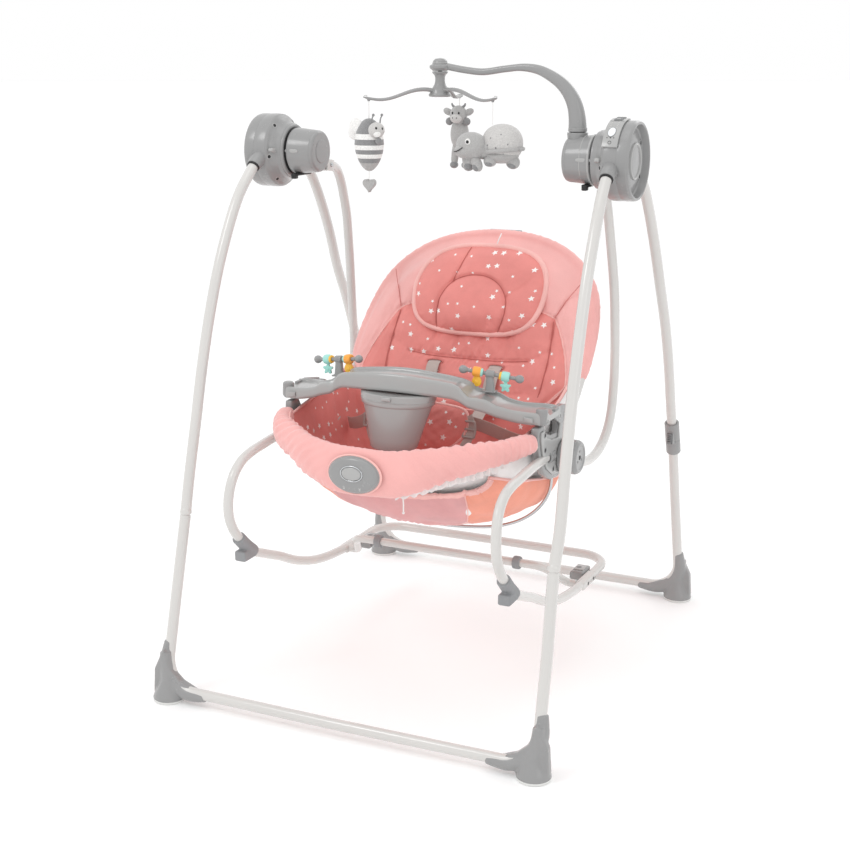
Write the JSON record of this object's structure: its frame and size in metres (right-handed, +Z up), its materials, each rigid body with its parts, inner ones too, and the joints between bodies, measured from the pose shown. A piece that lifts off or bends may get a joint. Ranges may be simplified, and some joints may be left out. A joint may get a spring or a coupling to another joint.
{
  "type": "baby swing",
  "caption": "Folding tube-frame baby swing with motor hubs, padded reclining seat on rocker rails, flip-up tray with play bars, and a revolving toy mobile.",
  "frame": {"origin": "on the floor midway between the four foot pads, under the middle of the overall box", "axes": "+Z up, +X towards the drive hub and the mobile's mast, the seat and tray face -Y"},
  "size_m": [0.782, 0.953, 1.152],
  "materials": {
    "tube_white": "gloss",
    "grey_plastic": "satin",
    "dark_plastic": "satin",
    "rubber": "matte",
    "bright_steel": "polished",
    "pink_fabric": "matte",
    "coral_fabric": "matte",
    "yellow_plastic": "gloss",
    "mint_plastic": "gloss",
    "panel_plastic": "gloss",
    "plush_grey": "matte",
    "plush_light": "matte"
  },
  "bodies": {
    "stand": {"front_base_tube": "tube_white", "front_leg_left": "tube_white", "front_leg_right": "tube_white", "front_foot_left": "grey_plastic", "front_foot_right": "grey_plastic", "hub_housing_left": "grey_plastic", "hub_housing_right": "grey_plastic", "hub_cover_left": "grey_plastic", "hub_cover_right": "grey_plastic", "drive_motor": "dark_plastic", "control_panel": "panel_plastic"},
    "rear_frame": {"rear_base_tube": "tube_white", "rear_leg_left": "tube_white", "rear_leg_right": "tube_white", "rear_foot_left": "grey_plastic", "rear_foot_right": "grey_plastic", "leg_coupling_left": "grey_plastic", "leg_coupling_right": "grey_plastic"},
    "coupling_button_right": {"coupling_button_right": "dark_plastic"},
    "coupling_button_left": {"coupling_button_left": "dark_plastic"},
    "power_button": {"power_button": "dark_plastic"},
    "speed_button": {"speed_button": "dark_plastic"},
    "swing": {"swing_drum_left": "grey_plastic", "swing_drum_right": "grey_plastic", "hanger_arm_left": "tube_white", "hanger_arm_right": "tube_white", "seat_side_left": "grey_plastic", "seat_side_right": "grey_plastic", "arm_cap_left": "grey_plastic", "arm_cap_right": "grey_plastic", "rocker_rail_left": "tube_white", "rocker_rail_right": "tube_white", "rail_foot_left": "rubber", "rail_foot_right": "rubber", "rear_u_bar": "tube_white", "rail_latch_left": "grey_plastic", "rail_latch_right": "grey_plastic", "seat_ring_tube": "tube_white", "seat_front_band": "pink_fabric", "seat_sling": "pink_fabric", "sling_rod": "bright_steel", "vibration_unit": "grey_plastic"},
    "vibration_button": {"vibration_button": "bright_steel"},
    "kickstand": {"kickstand_bar": "tube_white"},
    "backrest": {"backrest_tube": "tube_white", "backrest_pad": "coral_fabric", "head_cushion": "coral_fabric"},
    "tray": {"tray": "grey_plastic", "crotch_post": "grey_plastic", "play_bar_left": "grey_plastic", "play_bar_right": "grey_plastic"},
    "drop_spinner_right": {"drop_spinner_right": "yellow_plastic"},
    "drop_spinner_left": {"drop_spinner_left": "yellow_plastic"},
    "flower_spinner_right": {"flower_spinner_right": "mint_plastic"},
    "flower_spinner_left": {"flower_spinner_left": "mint_plastic"},
    "mobile_arm": {"mobile_mast": "grey_plastic"},
    "mobile_rotor": {"mobile_rotor": "grey_plastic"},
    "toy_bee": {"toy_bee": "plush_grey"},
    "toy_turtle": {"toy_turtle": "plush_light"},
    "toy_giraffe": {"toy_giraffe": "plush_grey"}
  },
  "joints": [
    {"name": "rear_frame_fold", "type": "hinge", "parent": "stand", "child": "rear_frame", "pos_m": [0, -0.031, 0.979], "axis": [-1, 0, 0], "range_deg": [0, 40]},
    {"name": "coupling_button_right_press", "type": "slide", "parent": "rear_frame", "child": "coupling_button_right", "axis": [0, 1, 0], "range_m": [0, 0.0025], "stiffness_N_per_m": 600, "springref_m": -0.0005},
    {"name": "coupling_button_left_press", "type": "slide", "parent": "rear_frame", "child": "coupling_button_left", "axis": [0, 1, 0], "range_m": [0, 0.0025], "stiffness_N_per_m": 600, "springref_m": -0.0005},
    {"name": "power_button_press", "type": "slide", "parent": "stand", "child": "power_button", "axis": [0, 0.0262, -0.9997], "range_m": [0, 0.0015], "stiffness_N_per_m": 500, "springref_m": -0.0003},
    {"name": "speed_button_press", "type": "slide", "parent": "stand", "child": "speed_button", "axis": [0, 0.2334, -0.9724], "range_m": [0, 0.0015], "stiffness_N_per_m": 500, "springref_m": -0.0003},
    {"name": "swing_pivot", "type": "hinge", "parent": "stand", "child": "swing", "pos_m": [0, -0.031, 0.979], "axis": [1, 0, 0], "range_deg": [-18, 18]},
    {"name": "vibration_button_press", "type": "slide", "parent": "swing", "child": "vibration_button", "axis": [0, 1, 0], "range_m": [0, 0.002], "stiffness_N_per_m": 600, "springref_m": -0.0003},
    {"name": "kickstand_hinge", "type": "hinge", "parent": "swing", "child": "kickstand", "pos_m": [0, 0.07, 0.147], "axis": [1, 0, 0], "range_deg": [0, 75]},
    {"name": "backrest_recline", "type": "hinge", "parent": "swing", "child": "backrest", "pos_m": [0, -0.06, 0.444], "axis": [-1, 0, 0], "range_deg": [0, 20]},
    {"name": "tray_flip", "type": "hinge", "parent": "swing", "child": "tray", "pos_m": [0, -0.043, 0.523], "axis": [-1, 0, 0], "range_deg": [0, 70]},
    {"name": "drop_spinner_right_turn", "type": "hinge", "parent": "tray", "child": "drop_spinner_right", "pos_m": [0.13188, -0.15355, 0.60824], "axis": [0.9635, 0.2312, -0.1349], "continuous": true},
    {"name": "flower_spinner_right_turn", "type": "hinge", "parent": "tray", "child": "flower_spinner_right", "pos_m": [0.17744, -0.14261, 0.60186], "axis": [0.9635, 0.2312, -0.1349], "continuous": true},
    {"name": "drop_spinner_left_turn", "type": "hinge", "parent": "tray", "child": "drop_spinner_left", "pos_m": [-0.13188, -0.15355, 0.60824], "axis": [0.9635, -0.2312, 0.1349], "continuous": true},
    {"name": "flower_spinner_left_turn", "type": "hinge", "parent": "tray", "child": "flower_spinner_left", "pos_m": [-0.17744, -0.14261, 0.60186], "axis": [0.9635, -0.2312, 0.1349], "continuous": true},
    {"name": "mobile_swivel", "type": "hinge", "parent": "swing", "child": "mobile_arm", "pos_m": [0.265, -0.031, 1.0265], "axis": [0, 0, 1], "range_deg": [0, 90]},
    {"name": "mobile_turn", "type": "hinge", "parent": "mobile_arm", "child": "mobile_rotor", "pos_m": [0, -0.031, 1.1], "axis": [0, 0, 1], "continuous": true},
    {"name": "toy_bee_hang", "type": "hinge", "parent": "mobile_rotor", "child": "toy_bee", "pos_m": [-0.09958, -0.12066, 1.076], "axis": [0.6691, -0.7431, 0], "range_deg": [-20, 20]},
    {"name": "toy_turtle_hang", "type": "hinge", "parent": "mobile_rotor", "child": "toy_turtle", "pos_m": [0.12424, -0.0812, 1.076], "axis": [0.3746, 0.9272, 0], "range_deg": [-20, 20]},
    {"name": "toy_giraffe_hang", "type": "hinge", "parent": "mobile_rotor", "child": "toy_giraffe", "pos_m": [-0.01865, 0.1017, 1.076], "axis": [-0.9903, -0.1392, 0], "range_deg": [-20, 20]}
  ]
}
